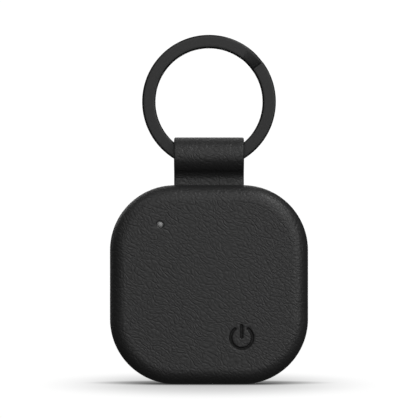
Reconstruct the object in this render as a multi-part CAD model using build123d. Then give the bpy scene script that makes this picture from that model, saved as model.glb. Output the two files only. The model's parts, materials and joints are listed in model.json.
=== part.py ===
from build123d import *
from math import acos, cos, degrees, radians, sin, sqrt
import os

# A tracker tag: a rounded square tag in two leather covers, a folded leather strap and a flat split key ring.
# All sizes are in millimetres. +Z is up with the ring at the top, and the face with the light looks along -Y.
# The origin is under the middle of the tag, on the plane that it stands on.

# The tag
BODY_W = 41.4
BODY_H = 41.6
BODY_T = 8.0
CORNER_R = 13.6
EDGE_R = 3.4
LEATHER_T = 0.8
SEAM_W = 0.5
SEAM_SINK = 0.1
MID_Z = BODY_H / 2
FACE_Y = BODY_T / 2
SHELL_Y = FACE_Y - LEATHER_T
SHELL_WALL = 0.9
CAVITY_Y = SHELL_Y - SHELL_WALL

# The sealed cavity that holds the electronics
SIDE_WALL = 1.3
CAVITY_BOTTOM = LEATHER_T + SIDE_WALL
CAVITY_TOP = 35.0
CAVITY_W = BODY_W - 2 * CAVITY_BOTTOM
CAVITY_H = CAVITY_TOP - CAVITY_BOTTOM
CAVITY_Z = (CAVITY_TOP + CAVITY_BOTTOM) / 2
CAVITY_R = CORNER_R - CAVITY_BOTTOM
GASKET_INSET = 0.35
GASKET_W = 0.5
GASKET_T = 0.6
FIT = 0.05

# The key ring: one flat wire wound twice, with a short ramp between the front turn and the rear turn
RING_OD = 28.0
RING_ID = 22.4
RING_LAYER_T = 0.9
RING_GAP = 0.04
RING_EDGE_R = 0.18
RING_Z = 59.05
RAMP_START = 37.5
RAMP_END = 53.8
RAMP_STEPS = 6
RING_BAND = (RING_OD - RING_ID) / 2
RING_MEAN_R = (RING_OD + RING_ID) / 4
LAYER_Y = (RING_LAYER_T + RING_GAP) / 2

# The strap: one band folded over the ring, its two ends held side by side in the tag
STRAP_W = 14.6
LOOP_Z = 47.8
LOOP_R = 3.8
HOLLOW_R = LOOP_R - LEATHER_T
NECK_HALF = LEATHER_T
FLARE_R = 1.6
FOLD_Z = 42.5
CUSP_ANGLE = 18.0
TAIL_BOTTOM = 36.5
PIN_X = 4.5
PIN_Z = 38.8
PIN_R = 0.8
PIN_HALF = 2.6

# The light
LIGHT_X = -10.17
LIGHT_Z = 33.39
LIGHT_R = 0.64
LIGHT_HOLE_R = 0.70
LIGHT_FLANGE_R = 0.9
LIGHT_FLANGE_T = 0.3
LIGHT_END_Y = -1.9

# The power button
BUTTON_X = 6.76
BUTTON_Z = 9.84
PATCH_R = 3.5
PATCH_HOLE_R = 3.6
FLEX_R = 6.0
FLEX_DEPTH = 0.45
PLUNGER_R = 2.7
PLUNGER_HOLE_R = 2.85
PLUNGER_T = 0.6
STEM_R = 0.8
NUB_END_Y = -2.15
STEM_END_Y = -1.65
ICON_R = 2.26
ICON_STROKE = 0.6
ICON_GAP = 35.0
ICON_BAR_W = 0.64
ICON_BAR_L = 3.08
ICON_BAR_Z = BUTTON_Z + 1.46
ICON_DEPTH = 0.2

# The board and what stands on its front
BOARD_FRONT = -1.2
BOARD_BACK = -0.6
BOARD_GAP = 0.3
CAN_WALL = 0.15
SWITCH_HOLE_R = 0.9
# each one's middle x and z, its width, its height and its thickness
RADIO = (7.5, 24.0, 5.0, 5.0, 0.6)
CAN = (7.5, 24.0, 11.0, 9.0, 1.0)
ANTENNA = (9.5, 32.2, 3.2, 1.2, 0.7)
CRYSTAL = (-3.0, 26.0, 2.5, 2.0, 0.5)
POWER_CHIP = (-4.5, 9.4, 3.0, 3.0, 0.6)
LED = (LIGHT_X, LIGHT_Z, 1.0, 0.8, 0.5)
SWITCH = (BUTTON_X, BUTTON_Z, 3.4, 3.4, 0.7)
# rows of small chips: the first one's x, the row's z and the number of chips
SMALL_CHIP = (1.0, 0.5, 0.4)
CHIP_ROWS = [(3.2, 17.6, 6), (-13.0, 27.6, 4), (-2.0, 30.6, 5), (-4.6, 5.2, 4)]
CHIP_PITCH = 1.7

# What stands behind the board
BATTERY_W = 24.0
BATTERY_H = 22.0
BATTERY_Z = 18.0
BATTERY_FRONT = -0.5
BATTERY_BACK = 1.5
BATTERY_CORNER_R = 1.5
BATTERY_EDGE_R = 0.4
PAD_W = 22.0
PAD_BOTTOM = 7.8
PAD_TOP = 27.4
TAB_X = 3.0
TAB_W = 2.0
TAB_BOTTOM = 28.0
TAB_TOP = 31.0
COIL_Z = 19.5
COIL_OUTER_R = 14.0
COIL_TURNS = 8
COIL_PITCH = 0.7
COIL_WIRE_W = 0.45
COIL_FRONT = 1.95
FERRITE_FRONT = 1.6
FERRITE_BACK = 1.8
FERRITE_R = 14.2
LEAD_X = 1.2
LEAD_W = 0.3
LEAD_Z = 34.2

# The buzzer on the inside of the front shell
BUZZER_X = -7.5
BUZZER_Z = 14.0
PLATE_R = 7.0
PLATE_T = 0.12
CERAMIC_R = 5.0
CERAMIC_T = 0.13
CONTACT_R = 0.25
CONTACT_OFFSETS = [2.0, 6.2]

# Fasteners
CASE_SCREWS_TOP = [(-14.3, 34.8), (14.3, 34.8)]
CASE_SCREWS_LOW = [(-13.2, 6.0), (13.2, 6.0)]
CASE_SHANK_R = 0.55
CASE_HEAD_R = 1.1
CASE_HEAD_FRONT = 1.9
CASE_HEAD_BACK = 2.4
CASE_SHANK_END = -2.2
CASE_BOSS_R = 1.4
BOARD_SCREWS = [(-15.5, 18.0), (15.5, 18.0)]
BOARD_SHANK_R = 0.42
BOARD_HEAD_R = 0.9
BOARD_HEAD_BACK = -0.2
BOARD_SHANK_END = -2.7
BOARD_BOSS_R = 1.2
DRIVE_W = 0.25
DRIVE_DEPTH = 0.2
BEYOND = 1.0


def flat(sketch, front, back):
    """A flat piece: a sketch in the x-z plane, from the depth front to the depth back."""
    place = Plane(origin=(0, back, 0), x_dir=(1, 0, 0), z_dir=(0, -1, 0))
    return extrude(place * sketch, amount=back - front)


def disc(x, z, radius, front, back):
    return flat(Pos(x, z) * Circle(radius), front, back)


def block(x, z, width, height, front, back):
    return flat(Pos(x, z) * Rectangle(width, height), front, back)


def strip(x, bottom, top, width, front, back):
    """A block given by its lowest and highest z."""
    return block(x, (bottom + top) / 2, width, top - bottom, front, back)


def plate(x, z, width, height, corner, front, back):
    return flat(Pos(x, z) * RectangleRounded(width, height, corner), front, back)


def tag_plate(inset, front, back):
    """A slice of the tag's outline, moved inwards all round by inset."""
    return plate(0, MID_Z, BODY_W - 2 * inset, BODY_H - 2 * inset, CORNER_R - inset, front, back)


def tag_block(inset):
    """The tag's whole block with its rounded rims, moved inwards all round by inset."""
    shape = tag_plate(inset, inset - FACE_Y, FACE_Y - inset)
    rims = shape.faces().filter_by(Axis.Y).edges()
    return fillet(rims, EDGE_R - inset)


def cavity_plate(grow, front, back):
    """A slice of the cavity's outline, moved outwards all round by grow."""
    width = CAVITY_W + 2 * grow
    height = CAVITY_H + 2 * grow
    return plate(0, CAVITY_Z, width, height, CAVITY_R + grow, front, back)


def between(shape, front, back):
    """The part of a shape that lies between two depths."""
    return shape & block(0, MID_Z, 2 * BODY_W, 2 * BODY_H, front, back)


def strap_slot():
    """The slot that the strap's tail comes out of."""
    half = NECK_HALF + FIT
    return strip(0, TAIL_BOTTOM - 2 * FIT, BODY_H + BEYOND, STRAP_W + 4 * FIT, -half, half)


def strap_pin_set(radius, half_length):
    """Two round pins across the tail."""
    group = Part()
    for x in (-PIN_X, PIN_X):
        group += disc(x, PIN_Z, radius, -half_length, half_length)
    return group


# --- leather covers ---


def front_leather_cover():
    cover = between(tag_block(0) - tag_block(LEATHER_T), -FACE_Y, -SEAM_W / 2) - strap_slot()
    cover -= disc(LIGHT_X, LIGHT_Z, LIGHT_HOLE_R, -FACE_Y - BEYOND, -SHELL_Y + BEYOND)
    cover -= disc(BUTTON_X, BUTTON_Z, PATCH_HOLE_R, -FACE_Y - BEYOND, -SHELL_Y + BEYOND)
    return cover


def rear_leather_cover():
    return between(tag_block(0) - tag_block(LEATHER_T), SEAM_W / 2, FACE_Y) - strap_slot()


def seam_bead():
    ring = tag_plate(SEAM_SINK, -SEAM_W / 2, SEAM_W / 2) - tag_plate(LEATHER_T, -SEAM_W / 2, SEAM_W / 2)
    return ring - strap_slot()


# --- shells ---


def gasket_ring():
    outer = cavity_plate(GASKET_INSET + GASKET_W, -GASKET_T / 2, GASKET_T / 2)
    return outer - cavity_plate(GASKET_INSET, -GASKET_T / 2, GASKET_T / 2)


def shell_half(front, back):
    """One half of the plastic case, with its share of the cavity, the tail pocket and the gasket groove."""
    shell = between(tag_block(LEATHER_T), front, back) - strap_slot() - gasket_ring()
    return shell - strap_pin_set(PIN_R + FIT, PIN_HALF + FIT)


def front_shell():
    shell = shell_half(-SHELL_Y, 0) - cavity_plate(0, -CAVITY_Y, BEYOND)
    for x, z in CASE_SCREWS_LOW:
        shell += disc(x, z, CASE_BOSS_R, -CAVITY_Y, BOARD_FRONT)
    for x, z in BOARD_SCREWS:
        shell += disc(x, z, BOARD_BOSS_R, -CAVITY_Y, BOARD_FRONT)
        shell -= disc(x, z, BOARD_SHANK_R + FIT, BOARD_SHANK_END - FIT, BOARD_FRONT)
    for x, z in CASE_SCREWS_TOP + CASE_SCREWS_LOW:
        shell -= disc(x, z, CASE_SHANK_R + FIT, CASE_SHANK_END - FIT, BEYOND)
    shell -= disc(LIGHT_X, LIGHT_Z, LIGHT_HOLE_R, -SHELL_Y - BEYOND, 0)
    shell -= disc(LIGHT_X, LIGHT_Z, LIGHT_FLANGE_R + FIT, -SHELL_Y - BEYOND, LIGHT_FLANGE_T - SHELL_Y)
    shell -= disc(BUTTON_X, BUTTON_Z, FLEX_R, -SHELL_Y - BEYOND, FLEX_DEPTH - SHELL_Y)
    shell -= disc(BUTTON_X, BUTTON_Z, PLUNGER_HOLE_R, -SHELL_Y - BEYOND, 0)
    return shell


def rear_shell():
    shell = shell_half(0, SHELL_Y) - cavity_plate(0, -BEYOND, CAVITY_Y)
    for x, z in CASE_SCREWS_LOW:
        shell += disc(x, z, CASE_BOSS_R, BOARD_BACK, CAVITY_Y)
    for x, z in CASE_SCREWS_TOP + CASE_SCREWS_LOW:
        shell -= disc(x, z, CASE_SHANK_R + FIT, BOARD_BACK, CASE_HEAD_FRONT)
        shell -= disc(x, z, CASE_HEAD_R + FIT, CASE_HEAD_FRONT, SHELL_Y + BEYOND)
    return shell


def led_light_guide():
    rod = disc(LIGHT_X, LIGHT_Z, LIGHT_R, -FACE_Y, LIGHT_END_Y)
    return rod + disc(LIGHT_X, LIGHT_Z, LIGHT_FLANGE_R, -SHELL_Y, LIGHT_FLANGE_T - SHELL_Y)


# --- fasteners ---


def screw(x, z, shank_r, head_r, tip, seat, top):
    """A pan-head screw along Y with a cross drive, its head on the +Y side."""
    shape = disc(x, z, shank_r, tip, seat) + disc(x, z, head_r, seat, top)
    for width, height in [(head_r, DRIVE_W), (DRIVE_W, head_r)]:
        shape -= block(x, z, width, height, top - DRIVE_DEPTH, top + BEYOND)
    return shape


def case_screws():
    group = Part()
    for x, z in CASE_SCREWS_TOP + CASE_SCREWS_LOW:
        group += screw(x, z, CASE_SHANK_R, CASE_HEAD_R, CASE_SHANK_END, CASE_HEAD_FRONT, CASE_HEAD_BACK)
    return group


def board_screws():
    group = Part()
    for x, z in BOARD_SCREWS:
        group += screw(x, z, BOARD_SHANK_R, BOARD_HEAD_R, BOARD_SHANK_END, BOARD_BACK, BOARD_HEAD_BACK)
    return group


# --- board ---


def on_board(x, z, width, height, thickness):
    """A component that stands on the front of the board."""
    return block(x, z, width, height, BOARD_FRONT - thickness, BOARD_FRONT)


def circuit_board():
    board = cavity_plate(-BOARD_GAP, BOARD_FRONT, BOARD_BACK)
    for x, z in CASE_SCREWS_LOW:
        board -= disc(x, z, CASE_SHANK_R + 2 * FIT, BOARD_FRONT, BOARD_BACK)
    for x, z in BOARD_SCREWS:
        board -= disc(x, z, BOARD_SHANK_R + 2 * FIT, BOARD_FRONT, BOARD_BACK)
    return board


def shield_can():
    x, z, width, height, thickness = CAN
    inside = on_board(x, z, width - 2 * CAN_WALL, height - 2 * CAN_WALL, thickness - CAN_WALL)
    return on_board(*CAN) - inside


def radio_chip():
    return on_board(*RADIO)


def chip_antenna():
    return on_board(*ANTENNA)


def timing_crystal():
    return on_board(*CRYSTAL)


def power_chip():
    return on_board(*POWER_CHIP)


def passive_components():
    """Rows of small resistors and capacitors."""
    width, height, thickness = SMALL_CHIP
    group = Part()
    for first_x, z, count in CHIP_ROWS:
        for number in range(count):
            group += on_board(first_x + number * CHIP_PITCH, z, width, height, thickness)
    return group


def indicator_led():
    return on_board(*LED)


def switch_housing():
    return on_board(*SWITCH) - disc(BUTTON_X, BUTTON_Z, SWITCH_HOLE_R, -CAVITY_Y, BOARD_FRONT)


# --- power source ---


def battery_cell():
    cell = plate(0, BATTERY_Z, BATTERY_W, BATTERY_H, BATTERY_CORNER_R, BATTERY_FRONT, BATTERY_BACK)
    return fillet(cell.faces().filter_by(Axis.Y).edges(), BATTERY_EDGE_R)


def battery_adhesive_pad():
    return strip(0, PAD_BOTTOM, PAD_TOP, PAD_W, BOARD_BACK, BATTERY_FRONT)


def battery_tabs():
    group = Part()
    for x in (-TAB_X, TAB_X):
        group += strip(x, TAB_BOTTOM, TAB_TOP, TAB_W, BOARD_BACK, BATTERY_FRONT)
    return group


def coil_edge(offset):
    """One edge of the flat spiral wire: half circles whose centres step to and fro by half the pitch."""
    arcs = []
    for number in range(2 * COIL_TURNS):
        side = 1 if number % 2 == 0 else -1
        radius = COIL_OUTER_R - COIL_WIRE_W / 2 - COIL_PITCH / 4 - number * COIL_PITCH / 2 + offset
        centre = (0, COIL_Z + side * COIL_PITCH / 4)
        arcs.append(CenterArc(centre, radius, 90 if side > 0 else 270, 180))
    return arcs


def charging_coil():
    """A flat spiral whose outer end is at its top."""
    outer = coil_edge(COIL_WIRE_W / 2)
    inner = coil_edge(-COIL_WIRE_W / 2)
    ends = [Line(outer[0] @ 0, inner[0] @ 0), Line(outer[-1] @ 1, inner[-1] @ 1)]
    return flat(make_face(outer + inner + ends), COIL_FRONT, CAVITY_Y)


def ferrite_sheet():
    return disc(0, COIL_Z, FERRITE_R, FERRITE_FRONT, FERRITE_BACK)


def coil_lead(x, bottom, front, back):
    """A run up past the ferrite sheet, then a straight post to the board."""
    run = strip(x, bottom, LEAD_Z + LEAD_W, LEAD_W, front, back)
    return run + strip(x, LEAD_Z, LEAD_Z + LEAD_W, LEAD_W, BOARD_BACK, front)


def coil_leads():
    """One lead from the coil's outer end and one that crosses in front of the turns from its inner end."""
    outer = coil_lead(0, COIL_Z + COIL_OUTER_R, COIL_FRONT, COIL_FRONT + LEAD_W)
    crossing_bottom = COIL_Z + COIL_OUTER_R - (COIL_TURNS + 1) * COIL_PITCH
    return outer + coil_lead(LEAD_X, crossing_bottom, FERRITE_BACK, COIL_FRONT)


# --- buzzer ---


def buzzer_plate():
    return disc(BUZZER_X, BUZZER_Z, PLATE_R, -CAVITY_Y, PLATE_T - CAVITY_Y)


def buzzer_ceramic():
    front = PLATE_T - CAVITY_Y
    return disc(BUZZER_X, BUZZER_Z, CERAMIC_R, front, front + CERAMIC_T)


def buzzer_contacts():
    """One spring contact on the ceramic and one on the brass plate outside it."""
    tops = [PLATE_T + CERAMIC_T - CAVITY_Y, PLATE_T - CAVITY_Y]
    group = Part()
    for offset, top in zip(CONTACT_OFFSETS, tops):
        group += disc(BUZZER_X, BUZZER_Z + offset, CONTACT_R, top, BOARD_FRONT)
    return group


# --- button ---


def power_icon():
    """A broken ring with a short bar through its gap."""
    arc = CenterArc((BUTTON_X, BUTTON_Z), ICON_R, 90 + ICON_GAP, 360 - 2 * ICON_GAP)
    bar = Pos(BUTTON_X, ICON_BAR_Z) * Rot(0, 0, 90) * SlotOverall(ICON_BAR_L, ICON_BAR_W)
    return SlotArc(arc, ICON_STROKE) + bar


def button_press_patch():
    patch = disc(BUTTON_X, BUTTON_Z, PATCH_R, -FACE_Y, -SHELL_Y)
    return patch - flat(power_icon(), -FACE_Y - BEYOND, ICON_DEPTH - FACE_Y)


def button_plunger():
    pad = disc(BUTTON_X, BUTTON_Z, PLUNGER_R, -SHELL_Y, PLUNGER_T - SHELL_Y)
    return pad + disc(BUTTON_X, BUTTON_Z, STEM_R, PLUNGER_T - SHELL_Y, NUB_END_Y)


def switch_stem():
    return disc(BUTTON_X, BUTTON_Z, STEM_R, NUB_END_Y, STEM_END_Y)


# --- strap ---


def polar(centre, radius, angle):
    return (centre[0] + radius * cos(radians(angle)), centre[1] + radius * sin(radians(angle)))


def fold_edge(flare_r, loop_r, first_angle):
    """One surface of the folded band in the y-z plane: a flare, round the loop, and the mirrored flare."""
    centre_y = NECK_HALF + FLARE_R
    drop = sqrt((LOOP_R + FLARE_R) ** 2 - centre_y**2)
    centre = (centre_y, LOOP_Z - drop)
    tangent_angle = degrees(acos(-centre_y / (LOOP_R + FLARE_R)))
    angles = [first_angle, (first_angle + tangent_angle) / 2, tangent_angle]
    right = [polar(centre, flare_r, angle) for angle in angles]
    left = [(-y, z) for y, z in reversed(right)]
    over = ThreePointArc(right[-1], (0, LOOP_Z + loop_r), left[0])
    return [ThreePointArc(*right), over, ThreePointArc(*left)]


def strap_loop():
    """The moving part of the strap: the neck of two layers and the loop that holds the ring."""
    outer = fold_edge(FLARE_R, LOOP_R, 180)
    foot = ThreePointArc((-NECK_HALF, FOLD_Z), (0, FOLD_Z - NECK_HALF), (NECK_HALF, FOLD_Z))
    sides = [Line(outer[-1] @ 1, foot @ 0), Line(foot @ 1, outer[0] @ 0)]
    inner = fold_edge(FLARE_R + LEATHER_T, HOLLOW_R, 180 - CUSP_ANGLE)
    hollow = make_face(inner + [Line(inner[-1] @ 1, inner[0] @ 0)])
    profile = make_face(outer + [foot] + sides) - hollow
    return extrude(Plane.YZ * profile, amount=STRAP_W / 2, both=True)


def strap_tail():
    """The fixed end of the folded strap, two layers thick."""
    tail = strip(0, TAIL_BOTTOM, BODY_H, STRAP_W, -NECK_HALF, NECK_HALF)
    return tail - strap_pin_set(PIN_R + FIT, PIN_HALF)


def strap_pins():
    return strap_pin_set(PIN_R, PIN_HALF)


# --- key ring ---


def ring_section(angle, depth):
    """The flat wire's section, angle degrees clockwise from the ring's top, with its middle at a depth."""
    outward = Vector(sin(radians(angle)), 0, cos(radians(angle)))
    along = Vector(cos(radians(angle)), 0, -sin(radians(angle)))
    middle = Vector(0, depth, RING_Z) + outward * RING_MEAN_R
    section = RectangleRounded(RING_BAND, RING_LAYER_T, RING_EDGE_R)
    return Plane(origin=middle, x_dir=outward, z_dir=along) * section


def key_ring():
    """The front turn, the rear turn and the ramp that joins them."""
    axis = Axis((0, 0, RING_Z), (0, 1, 0))
    ramp_size = RAMP_END - RAMP_START
    front = revolve(ring_section(RAMP_END, -LAYER_Y), axis, 360 - ramp_size)
    rear = revolve(ring_section(RAMP_END, LAYER_Y), axis, 360 - ramp_size)
    sections = []
    for number in range(RAMP_STEPS + 1):
        share = number / RAMP_STEPS
        eased = share * share * (3 - 2 * share)
        sections.append(ring_section(RAMP_START + share * ramp_size, LAYER_Y * (2 * eased - 1)))
    return front + loft(sections) + rear


NODES = {
    "front_leather_cover": front_leather_cover,
    "rear_leather_cover": rear_leather_cover,
    "seam_bead": seam_bead,
    "front_shell": front_shell,
    "rear_shell": rear_shell,
    "perimeter_gasket": gasket_ring,
    "led_light_guide": led_light_guide,
    "case_screws": case_screws,
    "board_screws": board_screws,
    "circuit_board": circuit_board,
    "shield_can": shield_can,
    "radio_chip": radio_chip,
    "chip_antenna": chip_antenna,
    "timing_crystal": timing_crystal,
    "power_chip": power_chip,
    "passive_components": passive_components,
    "indicator_led": indicator_led,
    "switch_housing": switch_housing,
    "battery_cell": battery_cell,
    "battery_adhesive_pad": battery_adhesive_pad,
    "battery_tabs": battery_tabs,
    "charging_coil": charging_coil,
    "ferrite_sheet": ferrite_sheet,
    "coil_leads": coil_leads,
    "buzzer_plate": buzzer_plate,
    "buzzer_ceramic": buzzer_ceramic,
    "buzzer_contacts": buzzer_contacts,
    "button_press_patch": button_press_patch,
    "button_plunger": button_plunger,
    "switch_stem": switch_stem,
    "strap_loop": strap_loop,
    "strap_tail": strap_tail,
    "strap_pins": strap_pins,
    "key_ring": key_ring,
}

os.makedirs("parts", exist_ok=True)
for name, make in NODES.items():
    export_step(make(), f"parts/{name}.step")
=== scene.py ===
import bmesh
import bpy
import json
import math
import numpy as np
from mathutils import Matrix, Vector
from mathutils.geometry import delaunay_2d_cdt


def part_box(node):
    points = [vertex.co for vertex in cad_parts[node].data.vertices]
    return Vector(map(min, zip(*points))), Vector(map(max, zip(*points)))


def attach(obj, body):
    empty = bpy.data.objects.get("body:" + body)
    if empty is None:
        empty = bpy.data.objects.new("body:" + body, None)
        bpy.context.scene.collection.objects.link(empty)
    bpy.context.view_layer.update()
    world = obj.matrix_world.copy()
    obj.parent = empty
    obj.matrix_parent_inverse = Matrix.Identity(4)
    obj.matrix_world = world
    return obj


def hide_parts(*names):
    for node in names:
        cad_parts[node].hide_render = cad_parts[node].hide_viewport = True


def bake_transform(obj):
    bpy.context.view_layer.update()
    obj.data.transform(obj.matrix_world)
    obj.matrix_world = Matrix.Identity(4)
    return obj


# The looks of a leather-covered tracker tag with a folded leather strap and a flat split key ring.
# Shapes are worked out in millimetres and turned into metres when a mesh is made.

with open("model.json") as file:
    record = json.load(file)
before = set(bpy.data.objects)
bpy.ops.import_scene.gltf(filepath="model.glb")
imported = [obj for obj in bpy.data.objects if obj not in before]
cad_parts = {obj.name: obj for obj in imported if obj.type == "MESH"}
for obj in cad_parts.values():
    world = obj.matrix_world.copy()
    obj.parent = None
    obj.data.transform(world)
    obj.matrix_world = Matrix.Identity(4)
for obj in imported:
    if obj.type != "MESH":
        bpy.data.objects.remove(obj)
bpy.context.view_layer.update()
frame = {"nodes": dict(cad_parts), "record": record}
MM = 0.001


def size_of(node):
    """The lowest and highest corner of a node, in millimetres."""
    low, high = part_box(node)
    return np.array(low) / MM, np.array(high) / MM


# --- places, from the frame ---

BODY_LOW, _ = size_of("front_leather_cover")
HALF_W = -BODY_LOW[0]
FACE_Y = -BODY_LOW[1]
BODY_H = size_of("strap_tail")[1][2]
MID_Z = BODY_H / 2
SEAM_HALF = size_of("seam_bead")[1][1]
SEAM_INSET = HALF_W - size_of("seam_bead")[1][0]
LIGHT_LOW, LIGHT_HIGH = size_of("led_light_guide")
LIGHT_X, LIGHT_Z = (LIGHT_LOW + LIGHT_HIGH)[[0, 2]] / 2
BUTTON_LOW, BUTTON_HIGH = size_of("button_press_patch")
BUTTON_X, BUTTON_Z = (BUTTON_LOW + BUTTON_HIGH)[[0, 2]] / 2
STRAP_LOW, STRAP_HIGH = size_of("strap_loop")
STRAP_HALF_W = STRAP_HIGH[0]
STRAP_TAIL_LOW = size_of("strap_tail")[0]
RING_LOW, RING_HIGH = size_of("key_ring")
RING_OUTER_R = RING_HIGH[0]
RING_Z = RING_HIGH[2] - RING_OUTER_R
RING_HALF_T = RING_HIGH[1]

# --- sizes of the leather, in millimetres ---

CORNER_R = 13.6
LEATHER_T = 0.8
ROLL_W = 3.45
ROLL_H = 3.1
ROLL_POWER = 2.1
CUT_R = 0.15
SLOT_HALF_W = STRAP_HALF_W + 0.1
SLOT_HALF_T = 0.85
SLOT_EASE = 0.6
SEAM_EDGE_R = 0.16

# --- sizes of the debossed symbol, the light and the press zone ---

ICON_R = 2.26
ICON_STROKE = 0.6
ICON_GAP = 37.0
ICON_BAR_W = 0.64
ICON_BAR_BOTTOM = -0.18
ICON_BAR_TOP = 2.78
ICON_EDGE = [-0.15, -0.06, 0.0, 0.06, 0.13]
ICON_DEPTH = [0.19, 0.165, 0.10, 0.03, 0.0]
LIGHT_HOLE_R = 0.70
HOLE_EASE = 0.007
LIGHT_EDGE = [0.0, 0.06, 0.15, 0.32]
LIGHT_EDGE_DEPTH = [0.2, 0.07, 0.018, 0.0]
LIGHT_R = 0.54
LIGHT_DOME = 0.3
LIGHT_SINK = 0.05
LIGHT_FLANGE_T = 0.3
PRESS_OUTER_R = 6.0

# --- sizes of the strap and the ring ---

LOOP_Z = 47.8
LOOP_R = STRAP_HIGH[1]
FLARE_R = 2.1
STRAP_EDGE_R = 0.34
STRAP_GAP = 0.02
RING_BAND = 2.8
RING_LAYER_T = 0.9
RING_EDGE_R = 0.42
RAMP_START = 37.5
RAMP_END = 53.8

# --- how fine the meshes are: a weld in metres, steps in millimetres, and counts of steps ---

WELD = 2e-7
SIDE_STEP = 0.35
FLAT_STEP = 0.42
CORNER_STEPS = 64
ROLL_STEPS = 90
OUTSIDE_STEPS = 30
CUT_STEPS = 5
INSIDE_STEPS = 12
ICON_STEPS = 90
BAR_STEPS = 16
CAP_STEPS = 11
NECK_STEPS = 22
FLARE_STEPS = 14
LOOP_STEPS = 50
RING_STEPS = 190
RAMP_STEPS = 24

# --- the leather's grain: its turn in degrees, and pebbles and creases in each millimetre ---

GRAIN_TURN = 34.0
PEBBLE_SCALE = 1.42
CREASE_SCALE = 0.8
CREASE_WEIGHT = 0.9
FINE_SCALE = 3.2
FINE_WEIGHT = 0.12

# --- the stage ---

CAMERA_DISTANCE = 0.480
CAMERA_HEIGHT = 0.0366
CAMERA_SEEN_W = 0.08754
FLOOR_REACH = 3.0
BACKDROP = 1.05
# the floor's shade is painted into the floor's glow, not thrown by the lamps: painted shade where the tag
# hides the sky, and painted shadow in two oval pools, a wide pale one and a dark one;
# each pool has its place behind the tag's middle, its squash, the distances it fades over and its tone
SHADOW_REACH = 90.0
SHADOW_RANGE = (-0.25, 1.0)
PAINTED_SHADOW_POOLS = [
    (0.0, 0.95, (14.0, 38.0), 0.76),
    (3.0, 3.4, (13.0, 28.0), 0.37),
]
AMBIENT = 0.047
# every soft box is a square of one size: its name, place and power, in metres and watts
BOX_SIDE = 0.45
LIGHTS = [
    ("key_box", (0.41, -0.41, 0.71), 3.2),
    ("right_box", (0.51, -0.73, 0.15), 1.7),
    ("front_box", (0.0, -0.85, 0.33), 1.05),
    ("low_front_box", (0.0, -0.89, -0.13), 0.5),
    ("left_box", (-0.41, -0.49, 0.66), 0.95),
    ("back_left_box", (-0.5, 0.6, 0.47), 0.83),
    ("left_strip", (-0.77, 0.45, 0.15), 0.18),
    ("back_box", (0.0, 0.78, 0.47), 0.6),
    ("top_box", (0.0, 0.45, 0.8), 0.45),
    ("rear_box", (0.0, 0.9, 0.06), 2.2),
]


# --- mesh helpers ---


def mesh_object(name, points, faces, materials, smooth_angle, grain=None):
    """A closed mesh from points in millimetres, welded where its patches meet."""
    mesh = bpy.data.meshes.new(name)
    mesh.from_pydata([tuple(p) for p in np.asarray(points, float) * MM], [], faces)
    if grain is not None:
        flat = np.column_stack([grain, np.zeros(len(grain))])
        mesh.attributes.new("grain", "FLOAT_VECTOR", "POINT").data.foreach_set("vector", flat.ravel())
    work = bmesh.new()
    work.from_mesh(mesh)
    bmesh.ops.remove_doubles(work, verts=work.verts, dist=WELD)
    bmesh.ops.dissolve_degenerate(work, edges=work.edges, dist=WELD)
    loose = [vertex for vertex in work.verts if not vertex.link_faces]
    bmesh.ops.delete(work, geom=loose, context="VERTS")
    bmesh.ops.recalc_face_normals(work, faces=work.faces)
    for face in work.faces:
        face.smooth = True
    work.to_mesh(mesh)
    work.free()
    if grain is not None:
        lay_grain(mesh)
    for material in materials:
        mesh.materials.append(material)
    mesh.set_sharp_from_angle(angle=math.radians(smooth_angle))
    piece = bpy.data.objects.new(name, mesh)
    bpy.context.scene.collection.objects.link(piece)
    return piece


def lay_grain(mesh):
    """Turns the unrolled leather coordinates of the points, in millimetres, into the mesh's UV map."""
    spots = np.zeros(len(mesh.vertices) * 3, np.float32)
    mesh.attributes["grain"].data.foreach_get("vector", spots)
    corners = np.zeros(len(mesh.loops), np.int32)
    mesh.loops.foreach_get("vertex_index", corners)
    layer = mesh.uv_layers.new(name="grain_map")
    layer.data.foreach_set("uv", spots.reshape(-1, 3)[corners, :2].ravel())
    mesh.attributes.remove(mesh.attributes["grain"])


def grid_faces(rows, columns, closed, first=0):
    """Quads over rows of points, each row joined to the next, and to itself where it is closed."""
    faces = []
    for row in range(rows - 1):
        for column in range(columns if closed else columns - 1):
            after = (column + 1) % columns
            a, b = first + row * columns, first + (row + 1) * columns
            faces.append((a + column, a + after, b + after, b + column))
    return faces


def sweep_closed(sections):
    """Points and faces of a tube through equal closed sections, with flat ends."""
    rows, columns = sections.shape[:2]
    faces = grid_faces(rows, columns, True)
    faces.append(tuple(range(columns)))
    faces.append(tuple((rows - 1) * columns + i for i in reversed(range(columns))))
    return sections.reshape(-1, 3), faces


def rounded_section(width, height, radius, flat_steps, corner_steps=6):
    """Points round a rounded rectangle in its own plane, with flat_steps steps along each long side."""
    points = []
    for quarter, (side_x, side_y) in enumerate([(1, 1), (-1, 1), (-1, -1), (1, -1)]):
        centre = np.array([side_x * (width / 2 - radius), side_y * (height / 2 - radius)])
        angles = np.radians(np.linspace(0, 90, corner_steps + 1) + 90 * quarter)
        arc = [centre + radius * np.array([math.cos(a), math.sin(a)]) for a in angles]
        points += arc
        if quarter % 2 == 0:
            end = arc[-1] * np.array([-1, 1])
            points += [arc[-1] + (end - arc[-1]) * s / flat_steps for s in range(1, flat_steps)]
    return np.array(points)


# --- leather covers ---


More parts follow.
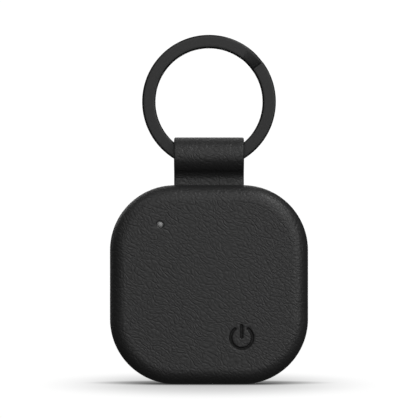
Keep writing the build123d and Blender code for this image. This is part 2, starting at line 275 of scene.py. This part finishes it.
def tag_outline():
    """Corner centres and unit normals round the tag's outline, anticlockwise from the right."""
    corners = np.array([(1, 1), (-1, 1), (-1, -1), (1, -1)]) * [HALF_W - CORNER_R, MID_Z - CORNER_R]
    corners = corners + [0, MID_Z]
    centres, normals = [], []
    for quarter, corner in enumerate(corners):
        for angle in np.radians(np.linspace(0, 90, CORNER_STEPS + 1) + 90 * quarter):
            centres.append(corner)
            normals.append([math.cos(angle), math.sin(angle)])
        side = corners[(quarter + 1) % 4] - corner
        steps = round(np.linalg.norm(side) / SIDE_STEP)
        for step in range(1, steps):
            centres.append(corner + side * step / steps)
            normals.append(normals[-1])
    return np.array(centres), np.array(normals)


def roll_profile():
    """The leather's roll-off at the rim: distances in from the outline, and depths behind the face."""
    angle = np.linspace(0, math.pi / 2, ROLL_STEPS)
    inwards = ROLL_W * (1 - np.sin(angle) ** (2 / ROLL_POWER))
    depth = ROLL_H * (1 - np.cos(angle) ** (2 / ROLL_POWER))
    inwards[-1], depth[-1] = 0, ROLL_H
    inwards = np.append(inwards, 0.0)
    depth = np.append(depth, FACE_Y - SEAM_HALF)
    return np.stack([inwards, depth], 1)


def offset_profile(profile, distance):
    """The profile moved into the leather by a distance."""
    along = np.gradient(profile, axis=0)
    along /= np.linalg.norm(along, axis=1)[:, None]
    across = np.stack([along[:, 1], -along[:, 0]], 1)
    return profile + distance * across


def cut_depth(x, z):
    """How far behind the face the leather's cut edge is: less beside the strap than at the seam."""
    slot = (z > MID_Z) * np.clip((SLOT_HALF_W + SLOT_EASE - np.abs(x)) / SLOT_EASE, 0, 1)
    eased = slot * slot * (3 - 2 * slot)
    return FACE_Y - (SEAM_HALF + eased * (SLOT_HALF_T - SEAM_HALF))


def along_profile(profile, end_depth, count):
    """Points along the profile from the flat face to a depth, evenly spaced by length."""
    lengths = np.append(0, np.cumsum(np.linalg.norm(np.diff(profile, axis=0), axis=1)))
    end = np.interp(end_depth, profile[:, 1], lengths)
    at = np.linspace(0, end, count)
    return np.stack([np.interp(at, lengths, profile[:, k]) for k in (0, 1)], 1)


def column_profile(outer, inner, end_depth):
    """One column of the cover: out over the roll, round the cut edge and back along the inside."""
    out = along_profile(outer, end_depth - CUT_R, OUTSIDE_STEPS)
    turn = np.radians(np.linspace(0, 90, CUT_STEPS)[1:])
    start = out[-1]
    edge = np.stack([start[0] + CUT_R * (1 - np.cos(turn)), start[1] + CUT_R * np.sin(turn)], 1)
    back = along_profile(inner, end_depth, INSIDE_STEPS)[::-1]
    return np.concatenate([out, edge, back])


def stroke_outline(line, half_width):
    """A closed outline round a line with round ends."""
    line = np.array(line, float)
    along = np.gradient(line, axis=0)
    along /= np.linalg.norm(along, axis=1)[:, None]
    left = np.stack([-along[:, 1], along[:, 0]], 1)
    cap = np.radians(np.linspace(90, -90, CAP_STEPS)[1:-1])[:, None]
    end = line[-1] + half_width * (np.cos(cap) * along[-1] + np.sin(cap) * left[-1])
    start = line[0] - half_width * (np.cos(cap) * along[0] + np.sin(cap) * left[0])
    return np.concatenate([line + half_width * left, end, (line - half_width * left)[::-1], start])


def icon_lines():
    """The centre lines of the power symbol: a broken ring and a short bar, with their widths."""
    angles = np.radians(np.linspace(90 + ICON_GAP, 450 - ICON_GAP, ICON_STEPS))
    ring = np.stack([BUTTON_X + ICON_R * np.cos(angles), BUTTON_Z + ICON_R * np.sin(angles)], 1)
    half = ICON_BAR_W / 2
    ends = np.linspace(ICON_BAR_BOTTOM + half, ICON_BAR_TOP - half, BAR_STEPS)
    bar = np.stack([np.full(len(ends), BUTTON_X), BUTTON_Z + ends], 1)
    return [(ring, ICON_STROKE / 2), (bar, half)]


def icon_distance(points):
    """Distance from each point to the edge of the symbol, negative inside it."""
    nearest = np.full(len(points), 1e3)
    for line, half in icon_lines():
        for a, b in zip(line[:-1], line[1:]):
            share = np.clip((points - a) @ (b - a) / ((b - a) @ (b - a)), 0, 1)
            gap = np.linalg.norm(points - a - share[:, None] * (b - a), axis=1) - half
            nearest = np.minimum(nearest, gap)
    return nearest


def light_ring(radius):
    """Points round the light's hole."""
    angles = np.radians(np.arange(0, 360, 10))
    return np.stack([LIGHT_X + radius * np.cos(angles), LIGHT_Z + radius * np.sin(angles)], 1)


def fill_flat(boundary, rings, step):
    """Triangles inside the boundary, with the points of every ring joined in order."""
    points, edges = [], []
    for ring in [boundary] + rings:
        first = len(points)
        points += [tuple(p) for p in ring]
        edges += [(first + i, first + (i + 1) % len(ring)) for i in range(len(ring))]
    if step:
        kept = np.array(points)
        reach = HALF_W - ROLL_W
        for row, z in enumerate(np.arange(MID_Z - reach, MID_Z + reach, step * math.sqrt(0.75))):
            line = np.arange(-reach, reach, step) + (row % 2) * step / 2
            line = np.stack([line, np.full(len(line), z)], 1)
            gap = np.linalg.norm(line[:, None, :] - kept[None, :, :], axis=2).min(1)
            points += [tuple(p) for p in line[(gap > 0.4 * step) & inside_outline(line)]]
    result = delaunay_2d_cdt([Vector(p) for p in points], edges, [], 0, 1e-6, False)
    return np.array([tuple(v) for v in result[0]]), [tuple(f) for f in result[2]]


def inside_outline(points):
    """Whether each point lies inside the flat part of the face."""
    half = np.array([HALF_W - ROLL_W, MID_Z - ROLL_W])
    radius = CORNER_R - ROLL_W
    over = np.abs(points - np.array([0, MID_Z])) - (half - radius)
    outside = np.linalg.norm(np.maximum(over, 0), axis=1)
    return outside < radius - 0.1


def light_distance(points):
    """Distance from each point to the edge of the light's hole, negative inside it."""
    return np.linalg.norm(points - [LIGHT_X, LIGHT_Z], axis=1) - LIGHT_HOLE_R


def rolled_rim(side):
    """Rings of points from the flat face over the rim to the leather's inside, and the same laid flat."""
    centres, normals = tag_outline()
    outer = roll_profile()
    inner = offset_profile(outer, LEATHER_T)
    inner[-1] = [LEATHER_T, outer[-1][1]]
    edge = centres + CORNER_R * normals
    ends = cut_depth(edge[:, 0], edge[:, 1])
    columns = np.array([column_profile(outer, inner, end) for end in ends])
    flat = edge[:, None, :] - columns[:, :, :1] * normals[:, None, :]
    rings = np.stack([flat[:, :, 0], side * (FACE_Y - columns[:, :, 1]), flat[:, :, 1]], 2)
    steps = np.linalg.norm(np.diff(columns, axis=1), axis=2)
    out = np.concatenate([np.zeros((len(edge), 1)), np.cumsum(steps, axis=1)], 1) - ROLL_W
    unrolled = edge[:, None, :] + out[:, :, None] * normals[:, None, :]
    return rings.transpose(1, 0, 2), unrolled.transpose(1, 0, 2)


def flat_part(boundary, outside, has_symbol):
    """Points and triangles inside a boundary, and how far each point sinks below the face."""
    contours = []
    if has_symbol and outside:
        for line, half in icon_lines():
            contours += [stroke_outline(line, half + gap) for gap in ICON_EDGE]
        contours += [light_ring(LIGHT_HOLE_R + gap) for gap in LIGHT_EDGE]
    elif has_symbol:
        contours = [light_ring(LIGHT_HOLE_R)]
    spots, triangles = fill_flat(boundary, contours, FLAT_STEP if outside else None)
    sink = np.zeros(len(spots))
    if has_symbol and outside:
        sink += np.interp(icon_distance(spots), ICON_EDGE, ICON_DEPTH)
        sink += np.interp(light_distance(spots), LIGHT_EDGE, LIGHT_EDGE_DEPTH)
    if has_symbol:
        gaps = light_distance(spots[np.array(triangles)].mean(1))
        triangles = [triangle for triangle, gap in zip(triangles, gaps) if gap > -HOLE_EASE]
    return spots, triangles, sink


def cover(name, side, materials, has_symbol):
    """A leather cover, side -1 at the front and +1 at the back, as one closed skin 0.8 mm thick."""
    rings, unrolled = rolled_rim(side)
    points, grain = [rings.reshape(-1, 3)], [unrolled.reshape(-1, 2)]
    faces = grid_faces(*rings.shape[:2], True)
    for ring_points, at_depth, outside in [(rings[0], 0.0, True), (rings[-1], LEATHER_T, False)]:
        spots, triangles, sink = flat_part(ring_points[:, [0, 2]], outside, has_symbol)
        first = sum(len(p) for p in points)
        points.append(np.stack([spots[:, 0], side * (FACE_Y - at_depth - sink), spots[:, 1]], 1))
        grain.append(spots)
        faces += [tuple(first + i for i in triangle) for triangle in triangles]
    if has_symbol:
        first = sum(len(p) for p in points)
        spots = light_ring(LIGHT_HOLE_R)
        for wall_depth in (LIGHT_EDGE_DEPTH[0], LEATHER_T):
            level = np.full(len(spots), side * (FACE_Y - wall_depth))
            points.append(np.stack([spots[:, 0], level, spots[:, 1]], 1))
            grain.append(spots)
        faces += grid_faces(2, len(spots), True, first)
    piece = mesh_object(name, np.concatenate(points), faces, materials, 50, np.concatenate(grain))
    if has_symbol:
        mark_pressed(piece.data)
    return piece


def mark_pressed(mesh):
    """Gives the floor and walls of the symbol the pressed leather."""
    middles = np.array([face.center for face in mesh.polygons]) / MM
    inside = (icon_distance(middles[:, [0, 2]]) < 0.03) & (middles[:, 1] < LEATHER_T / 2 - FACE_Y)
    for face, pressed in zip(mesh.polygons, inside):
        face.material_index = int(pressed)


def blend_round_button(piece):
    """Puts each point for a moment at its distance from the button's middle, the back's points at the press
    zone's outer radius, bakes the piece's placement, and puts the points back.
    """
    mesh = piece.data
    rest = np.array([v.co for v in mesh.vertices])
    middle = np.array([BUTTON_X, BUTTON_Z]) * MM
    gaps = np.linalg.norm(rest[:, [0, 2]] - middle, axis=1)
    gaps[rest[:, 1] > 0] = PRESS_OUTER_R * MM
    radial = np.zeros_like(rest)
    radial[:, 0] = gaps
    mesh.vertices.foreach_set("co", radial.astype(np.float32).ravel())
    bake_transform(piece)
    mesh.vertices.foreach_set("co", rest.astype(np.float32).ravel())
    mesh.update()


def seam(material):
    """The bead of edge paint between the covers, open where the strap comes out."""
    centres, normals = tag_outline()
    edge = centres + CORNER_R * normals
    top = np.argmin(np.abs(edge[:, 0]) + (edge[:, 1] < MID_Z) * BODY_H)
    order = np.roll(np.arange(len(edge)), -top)
    open_part = [i for i in order if edge[i, 1] < MID_Z or abs(edge[i, 0]) > SLOT_HALF_W + SLOT_EASE / 2]
    width = LEATHER_T - SEAM_INSET
    section = rounded_section(width, 2 * SEAM_HALF, SEAM_EDGE_R, 2)
    sections = []
    for i in open_part:
        middle = edge[i] - (SEAM_INSET + width / 2) * normals[i]
        flat = middle + section[:, :1] * normals[i]
        sections.append(np.stack([flat[:, 0], section[:, 1], flat[:, 1]], 1))
    points, faces = sweep_closed(np.array(sections))
    return mesh_object("seam_edge_paint", points, faces, [material], 50)


# --- strap ---


def strap_path():
    """The folded band's middle line in the y-z plane: front tail, loop, rear tail."""
    half_t = LEATHER_T / 2
    centre_y = STRAP_GAP / 2 + LEATHER_T + FLARE_R
    drop = math.sqrt((LOOP_R + FLARE_R) ** 2 - centre_y**2)
    flare_z = LOOP_Z - drop
    turn = math.acos(centre_y / (LOOP_R + FLARE_R))
    neck = [(-half_t - STRAP_GAP / 2, z) for z in np.linspace(STRAP_TAIL_LOW[2], flare_z, NECK_STEPS)]
    flare_r = FLARE_R + half_t
    bends = np.linspace(0, turn, FLARE_STEPS)[1:]
    flare = [(-centre_y + flare_r * math.cos(a), flare_z + flare_r * math.sin(a)) for a in bends]
    loop_r = LOOP_R - half_t
    bends = np.linspace(math.pi + turn, math.pi / 2, LOOP_STEPS)[1:]
    over = [(loop_r * math.cos(a), LOOP_Z + loop_r * math.sin(a)) for a in bends]
    front = neck + flare + over
    rear = [(-y, z) for y, z in reversed(front[:-1])]
    return np.array(front + rear)


def strap(material, edge_material):
    """One band of leather with painted edges, folded over the ring, its ends side by side."""
    path = strap_path()
    along = np.gradient(path, axis=0)
    along /= np.linalg.norm(along, axis=1)[:, None]
    outwards = np.stack([-along[:, 1], along[:, 0]], 1)
    section = rounded_section(2 * STRAP_HALF_W, LEATHER_T, STRAP_EDGE_R, 24)
    lengths = np.append(0, np.cumsum(np.linalg.norm(np.diff(path, axis=0), axis=1)))
    sections, grain = [], []
    for middle, out, length in zip(path, outwards, lengths):
        yz = middle + section[:, 1:] * out
        sections.append(np.stack([section[:, 0], yz[:, 0], yz[:, 1]], 1))
        grain.append(np.stack([section[:, 0] + section[:, 1], np.full(len(section), length)], 1))
    points, faces = sweep_closed(np.array(sections))
    piece = mesh_object("strap_band", points, faces, [material, edge_material], 50, np.concatenate(grain))
    for face in piece.data.polygons:
        face.material_index = int(abs(face.normal.x) > 0.75)
    return piece


# --- key ring ---


def ring(material):
    """One flat wire wound twice: the front turn, a short ramp and the rear turn."""
    ramp = RAMP_END - RAMP_START
    turn = np.linspace(0, 360 - ramp, RING_STEPS)
    climb = np.linspace(0, ramp, RAMP_STEPS)[1:-1]
    layer_y = RING_HALF_T - RING_LAYER_T / 2
    share = climb / ramp
    eased = share * (7 + share) / 8
    angles = np.concatenate([RAMP_END + turn, RAMP_START + 360 + climb, RAMP_END + 360 + turn])
    depths = np.concatenate([np.full(len(turn), -1), 2 * eased - 1, np.full(len(turn), 1)]) * layer_y
    mean_r = RING_OUTER_R - RING_BAND / 2
    section = rounded_section(RING_BAND, RING_LAYER_T, RING_EDGE_R, 6)
    sections = []
    for angle, depth in zip(np.radians(angles), depths):
        radii = mean_r + section[:, 0]
        x, z = radii * math.sin(angle), RING_Z + radii * math.cos(angle)
        sections.append(np.stack([x, depth + section[:, 1], z], 1))
    points, faces = sweep_closed(np.array(sections))
    return mesh_object("split_ring", points, faces, [material], 40)


# --- light ---


def light_tip(material):
    """A round light guide with a low dome at its tip."""
    tip, end = LIGHT_LOW[1], LIGHT_HIGH[1]
    flange_r = (LIGHT_HIGH[0] - LIGHT_LOW[0]) / 2
    front = -FACE_Y + LEATHER_T
    back = front + LIGHT_FLANGE_T
    bends = np.radians(np.arange(6, 91, 7))
    dome = [(LIGHT_R * math.sin(a), tip + LIGHT_SINK + LIGHT_DOME * (1 - math.cos(a))) for a in bends]
    rod = [(LIGHT_R, front), (flange_r, front), (flange_r, back), (LIGHT_R, back), (LIGHT_R, end)]
    angles = np.radians(np.arange(0, 360, 9))
    rows = []
    for r, y in dome + rod:
        x, z = LIGHT_X + r * np.cos(angles), LIGHT_Z + r * np.sin(angles)
        rows.append(np.stack([x, np.full(len(angles), y), z], 1))
    points, faces = sweep_closed(np.array(rows))
    return mesh_object("light_guide_tip", points, faces, [material], 40)


# --- materials ---


class Nodes:
    """A new material's node tree, with short ways to add and join nodes."""

    def __init__(self, name):
        self.material = bpy.data.materials.new(name)
        self.material.use_nodes = True
        self.tree = self.material.node_tree
        self.shader = self.tree.nodes["Principled BSDF"]

    def add(self, kind, settings=None, **inputs):
        """A node with its settings, and its inputs set or joined."""
        node = self.tree.nodes.new(kind)
        for key, value in (settings or {}).items():
            setattr(node, key, value)
        for key, value in inputs.items():
            self.put(value, node.inputs[key.replace("_", " ")])
        return node

    def put(self, value, socket):
        """Joins a socket, or sets its value."""
        if isinstance(value, bpy.types.NodeSocket):
            self.tree.links.new(value, socket)
        else:
            socket.default_value = value

    def blend(self, kind, a, b, share=1.0):
        """Two colours mixed by a share."""
        node = self.tree.nodes.new("ShaderNodeMix")
        node.data_type = "RGBA"
        node.blend_type = kind
        self.put(share, node.inputs[0])
        self.put(a, node.inputs[6])
        self.put(b, node.inputs[7])
        return node.outputs[2]

    def scaled(self, place, scale):
        """Coordinates stretched along each axis."""
        return self.add("ShaderNodeMapping", {"vector_type": "POINT"}, Vector=place, Scale=scale).outputs[0]

    def object_place(self):
        """The piece's own coordinates, in millimetres."""
        return self.scaled(self.add("ShaderNodeTexCoord").outputs["Object"], (1 / MM, 1 / MM, 1 / MM))

    def warp(self, place, scale, reach):
        """Coordinates pushed about by a soft noise."""
        flat = {"noise_dimensions": "2D"}
        drift = self.add("ShaderNodeTexNoise", flat, Vector=place, Scale=scale, Detail=1.0)
        shift = self.add("ShaderNodeVectorMath", {"operation": "MULTIPLY_ADD"})
        self.put(drift.outputs["Color"], shift.inputs[0])
        shift.inputs[1].default_value = (reach, reach, reach)
        self.put(place, shift.inputs[2])
        return shift.outputs[0]

    def cracks(self, place, stretch, scale, width):
        """Flat cells drawn out along x, rising from the cracks between them to 1 at a width from them."""
        long = self.scaled(place, (stretch, 1, 1))
        settings = {"feature": "DISTANCE_TO_EDGE", "voronoi_dimensions": "2D"}
        cells = self.add("ShaderNodeTexVoronoi", settings, Vector=long, Scale=scale, Randomness=0.85)
        return self.ramp(cells.outputs["Distance"], 0.0, width, 0.0, 1.0)

    def ramp(self, value, low, high, low_out, high_out):
        """A value eased from one range to another."""
        node = self.add("ShaderNodeMapRange", {"interpolation_type": "SMOOTHSTEP"}, Value=value)
        numbers = {"From Min": low, "From Max": high, "To Min": low_out, "To Max": high_out}
        for key, number in numbers.items():
            node.inputs[key].default_value = number
        return node.outputs[0]

    def maths(self, operation, a, b):
        """Two values joined by an operation."""
        node = self.add("ShaderNodeMath", {"operation": operation})
        self.put(a, node.inputs[0])
        self.put(b, node.inputs[1])
        return node.outputs[0]

    def set(self, **inputs):
        """Sets the shader's own inputs."""
        for key, value in inputs.items():
            self.put(value, self.shader.inputs[key.replace("_", " ")])


def colour(r, g, b):
    """An opaque colour."""
    return (r, g, b, 1.0)


def leather(name, tone, specular, grain, roughness=(0.40, 0.50)):
    """Fine black leather: small pebbles, drawn out down to the right, with longer creases between them, and
    painted shade darkening the base colour in the cracks.
    """
    n = Nodes(name)
    place = n.add("ShaderNodeUVMap", {"uv_map": "grain_map"}).outputs[0]
    bent = n.warp(place, 0.2, 2.0)
    bent = n.warp(bent, 0.9, 0.4)
    turn = (0, 0, math.radians(GRAIN_TURN))
    turned = n.add("ShaderNodeMapping", {"vector_type": "POINT"}, Vector=bent, Rotation=turn).outputs[0]
    pebble = n.cracks(turned, 0.66, PEBBLE_SCALE, 0.42)
    crease = n.cracks(turned, 0.38, CREASE_SCALE, 0.15)
    flat = {"noise_dimensions": "2D"}
    fine = n.add("ShaderNodeTexNoise", flat, Vector=place, Scale=FINE_SCALE, Detail=1.0)
    height = n.maths("ADD", pebble, n.maths("MULTIPLY", crease, CREASE_WEIGHT))
    height = n.maths("ADD", height, n.maths("MULTIPLY", fine.outputs[0], FINE_WEIGHT))
    bump = n.add("ShaderNodeBump", {}, Height=height, Strength=1.0, Distance=grain * MM)
    # painted shade: the base colour is darkest in the cracks between the pebbles, where shade would fall
    dark = colour(*(0.82 * c for c in tone))
    light = colour(*(1.05 * c for c in tone))
    n.set(Base_Color=n.blend("MIX", dark, light, pebble))
    n.set(Roughness=n.ramp(pebble, 0.0, 1.0, roughness[1], roughness[0]))
    n.set(Normal=bump.outputs[0], Specular_IOR_Level=specular)
    return n.material


def black_metal():
    """A thin satin black coating on spring steel, with a fine noise in its bump and a slight broad change
    of tone.
    """
    n = Nodes("black_coated_steel")
    place = n.object_place()
    fine = n.add("ShaderNodeTexNoise", {}, Vector=place, Scale=9.0, Detail=3.0)
    broad = n.add("ShaderNodeTexNoise", {}, Vector=place, Scale=0.12, Detail=1.0)
    bump = n.add("ShaderNodeBump", {}, Height=fine.outputs[0], Strength=0.5, Distance=0.001 * MM)
    tone = n.blend("MIX", colour(0.006, 0.006, 0.0062), colour(0.008, 0.008, 0.0082), broad.outputs[0])
    n.set(Base_Color=tone, Metallic=0.0, Specular_IOR_Level=0.42, Normal=bump.outputs[0])
    n.set(Roughness=n.ramp(fine.outputs[0], 0.3, 0.7, 0.31, 0.34))
    return n.material


def plain(name, tone, roughness, metallic=0.0, scale=1.0, depth=0.004, spread=0.12):
    """A moulded, rolled or fired surface with its own fine texture and a slight change of tone."""
    n = Nodes(name)
    place = n.object_place()
    fine = n.add("ShaderNodeTexNoise", {}, Vector=place, Scale=6.0 * scale, Detail=3.0)
    broad = n.add("ShaderNodeTexNoise", {}, Vector=place, Scale=0.3 * scale, Detail=2.0)
    bump = n.add("ShaderNodeBump", {}, Height=fine.outputs[0], Strength=0.6, Distance=depth * MM)
    low = colour(*((1 - spread) * c for c in tone))
    high = colour(*(min(1.0, (1 + spread) * c) for c in tone))
    n.set(Base_Color=n.blend("MIX", low, high, broad.outputs[0]), Metallic=metallic, Normal=bump.outputs[0])
    n.set(Roughness=n.ramp(fine.outputs[0], 0.3, 0.7, max(0.05, roughness - 0.06), roughness + 0.06))
    return n.material


# slot: colour, roughness, metallic, texture scale, texture depth in millimetres
INNER_FINISHES = {
    "shell_plastic": ((0.02, 0.02, 0.021), 0.55, 0.0, 1.0, 0.01),
    "gasket_rubber": ((0.05, 0.05, 0.055), 0.7, 0.0, 0.8, 0.006),
    "steel": ((0.6, 0.6, 0.6), 0.35, 1.0, 1.5, 0.003),
    "can_metal": ((0.66, 0.66, 0.64), 0.32, 1.0, 0.7, 0.004),
    "board_laminate": ((0.01, 0.07, 0.035), 0.3, 0.0, 0.6, 0.006),
    "chip_plastic": ((0.018, 0.018, 0.02), 0.6, 0.0, 1.6, 0.004),
    "chip_ceramic": ((0.36, 0.26, 0.17), 0.5, 0.0, 1.6, 0.003),
    "antenna_ceramic": ((0.78, 0.78, 0.74), 0.45, 0.0, 1.2, 0.003),
    "led_package": ((0.8, 0.78, 0.62), 0.2, 0.0, 1.0, 0.002),
    "switch_plastic": ((0.03, 0.03, 0.032), 0.5, 0.0, 1.2, 0.004),
    "battery_foil": ((0.62, 0.63, 0.64), 0.38, 1.0, 0.4, 0.02),
    "adhesive_foam": ((0.7, 0.7, 0.66), 0.9, 0.0, 0.8, 0.02),
    "nickel": ((0.7, 0.67, 0.6), 0.25, 1.0, 0.8, 0.003),
    "copper": ((0.72, 0.33, 0.16), 0.3, 1.0, 1.0, 0.004),
    "ferrite": ((0.05, 0.048, 0.046), 0.75, 0.0, 1.0, 0.005),
    "buzzer_brass": ((0.75, 0.58, 0.26), 0.33, 1.0, 0.5, 0.004),
    "piezo_ceramic": ((0.75, 0.74, 0.7), 0.42, 0.0, 0.7, 0.004),
    "spring_brass": ((0.8, 0.66, 0.36), 0.28, 1.0, 1.2, 0.003),
}


def finish_inner_nodes():
    """Gives every CAD node that stays its own finish, by its material slot."""
    slots = {s["node"]: s["material_slot"] for s in frame["record"]["subparts"]}
    made = {}
    for node, piece in frame["nodes"].items():
        slot = slots[node]
        if piece.hide_render or slot not in INNER_FINISHES:
            continue
        if slot not in made:
            tone, roughness, metallic, scale, depth = INNER_FINISHES[slot]
            made[slot] = plain(f"inner_{slot}", tone, roughness, metallic, scale, depth)
        piece.data.materials.clear()
        piece.data.materials.append(made[slot])


# --- stage ---


def soft_box(name, place, target, power):
    """A square white light that faces a target."""
    lamp = bpy.data.lights.new(name, "AREA")
    lamp.shape = "SQUARE"
    lamp.size = BOX_SIDE
    lamp.energy = power
    piece = bpy.data.objects.new(name, lamp)
    piece.location = place
    piece.rotation_euler = (Vector(target) - Vector(place)).to_track_quat("-Z", "Y").to_euler()
    bpy.context.scene.collection.objects.link(piece)


def white_floor():
    """A white glowing floor that casts no light on the tag, with painted shade in its glow where the tag
    hides the sky from it, and painted shadow in oval pools.
    """
    mesh = bpy.data.meshes.new("floor")
    corners = [(x * FLOOR_REACH, y * FLOOR_REACH, 0) for x, y in ((-1, -1), (1, -1), (1, 1), (-1, 1))]
    mesh.from_pydata(corners, [], [(0, 1, 2, 3)])
    floor = bpy.data.objects.new("floor", mesh)
    bpy.context.scene.collection.objects.link(floor)
    floor.visible_diffuse = False
    floor.visible_glossy = False
    floor.visible_shadow = False
    n = Nodes("floor_paper_with_painted_shadow")
    # painted shade: ambient occlusion near the tag darkens the floor's glow, in place of a lamp's shadow
    hidden = n.add("ShaderNodeAmbientOcclusion", {"samples": 16}, Distance=SHADOW_REACH * MM)
    shade = n.ramp(hidden.outputs["AO"], *SHADOW_RANGE, 0.0, 1.02)
    place = n.object_place()
    # painted shadow: oval pools fixed behind the tag's middle darken the glow further
    for behind, squash, fade, tone in PAINTED_SHADOW_POOLS:
        away = n.add("ShaderNodeVectorMath", {"operation": "DISTANCE"})
        n.put(n.scaled(place, (1, squash, 1)), away.inputs[0])
        away.inputs[1].default_value = (0, behind * squash, 0)
        shade = n.maths("MULTIPLY", shade, n.ramp(away.outputs["Value"], *fade, tone, 1.0))
    n.set(Base_Color=colour(0, 0, 0), Roughness=1.0, Specular_IOR_Level=0.0)
    n.set(Emission_Color=shade, Emission_Strength=1.0)
    mesh.materials.append(n.material)


def studio():
    """A white backdrop that lights the tag only dimly, and the soft boxes."""
    world = bpy.data.worlds.new("studio")
    bpy.context.scene.world = world
    world.use_nodes = True
    tree = world.node_tree
    backdrop = tree.nodes["Background"]
    backdrop.inputs["Color"].default_value = colour(1, 1, 1)
    backdrop.inputs["Strength"].default_value = BACKDROP
    dim = tree.nodes.new("ShaderNodeBackground")
    dim.inputs["Color"].default_value = colour(1, 1, 1)
    dim.inputs["Strength"].default_value = AMBIENT
    seen = tree.nodes.new("ShaderNodeLightPath")
    choose = tree.nodes.new("ShaderNodeMixShader")
    tree.links.new(seen.outputs["Is Camera Ray"], choose.inputs[0])
    tree.links.new(dim.outputs[0], choose.inputs[1])
    tree.links.new(backdrop.outputs[0], choose.inputs[2])
    tree.links.new(choose.outputs[0], tree.nodes["World Output"].inputs[0])
    middle = (0, 0, MID_Z * MM)
    for name, place, power in LIGHTS:
        soft_box(name, place, middle, power)


def camera():
    """Square in front of the tag, level with its upper part."""
    data = bpy.data.cameras.new("camera")
    data.sensor_width = 36.0
    data.lens = data.sensor_width * CAMERA_DISTANCE / CAMERA_SEEN_W
    data.clip_start, data.clip_end = 0.01, 20.0
    piece = bpy.data.objects.new("camera", data)
    piece.location = (0, -CAMERA_DISTANCE, CAMERA_HEIGHT)
    piece.rotation_euler = (math.pi / 2, 0, 0)
    bpy.context.scene.collection.objects.link(piece)
    bpy.context.scene.camera = piece


# --- assembly ---

bpy.context.scene.view_settings.view_transform = "Standard"
camera()
white_floor()
studio()

black_leather = leather("black_leather", (0.02, 0.02, 0.0202), 0.48, 0.0255, (0.40, 0.50))
pressed_leather = leather("pressed_leather", (0.008, 0.008, 0.008), 0.2, 0.02, (0.5, 0.6))
edge_paint = plain("edge_paint", (0.012, 0.012, 0.012), 0.5, scale=0.6, depth=0.01)
ring_metal = black_metal()
guide_plastic = plain("light_guide", (0.33, 0.33, 0.33), 0.12, scale=0.5, depth=0.001)

front = cover("leather_front", -1, [black_leather, pressed_leather], True)
blend_round_button(front)
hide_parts("front_leather_cover", "button_press_patch")

rear = cover("leather_rear", 1, [black_leather], False)
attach(rear, "tag_body")
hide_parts("rear_leather_cover")

bead = seam(edge_paint)
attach(bead, "tag_body")
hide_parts("seam_bead")

band = strap(black_leather, edge_paint)
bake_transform(band)
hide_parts("strap_tail", "strap_loop")

wire = ring(ring_metal)
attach(wire, "key_ring_body")
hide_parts("key_ring")

tip = light_tip(guide_plastic)
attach(tip, "tag_body")
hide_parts("led_light_guide")

finish_inner_nodes()
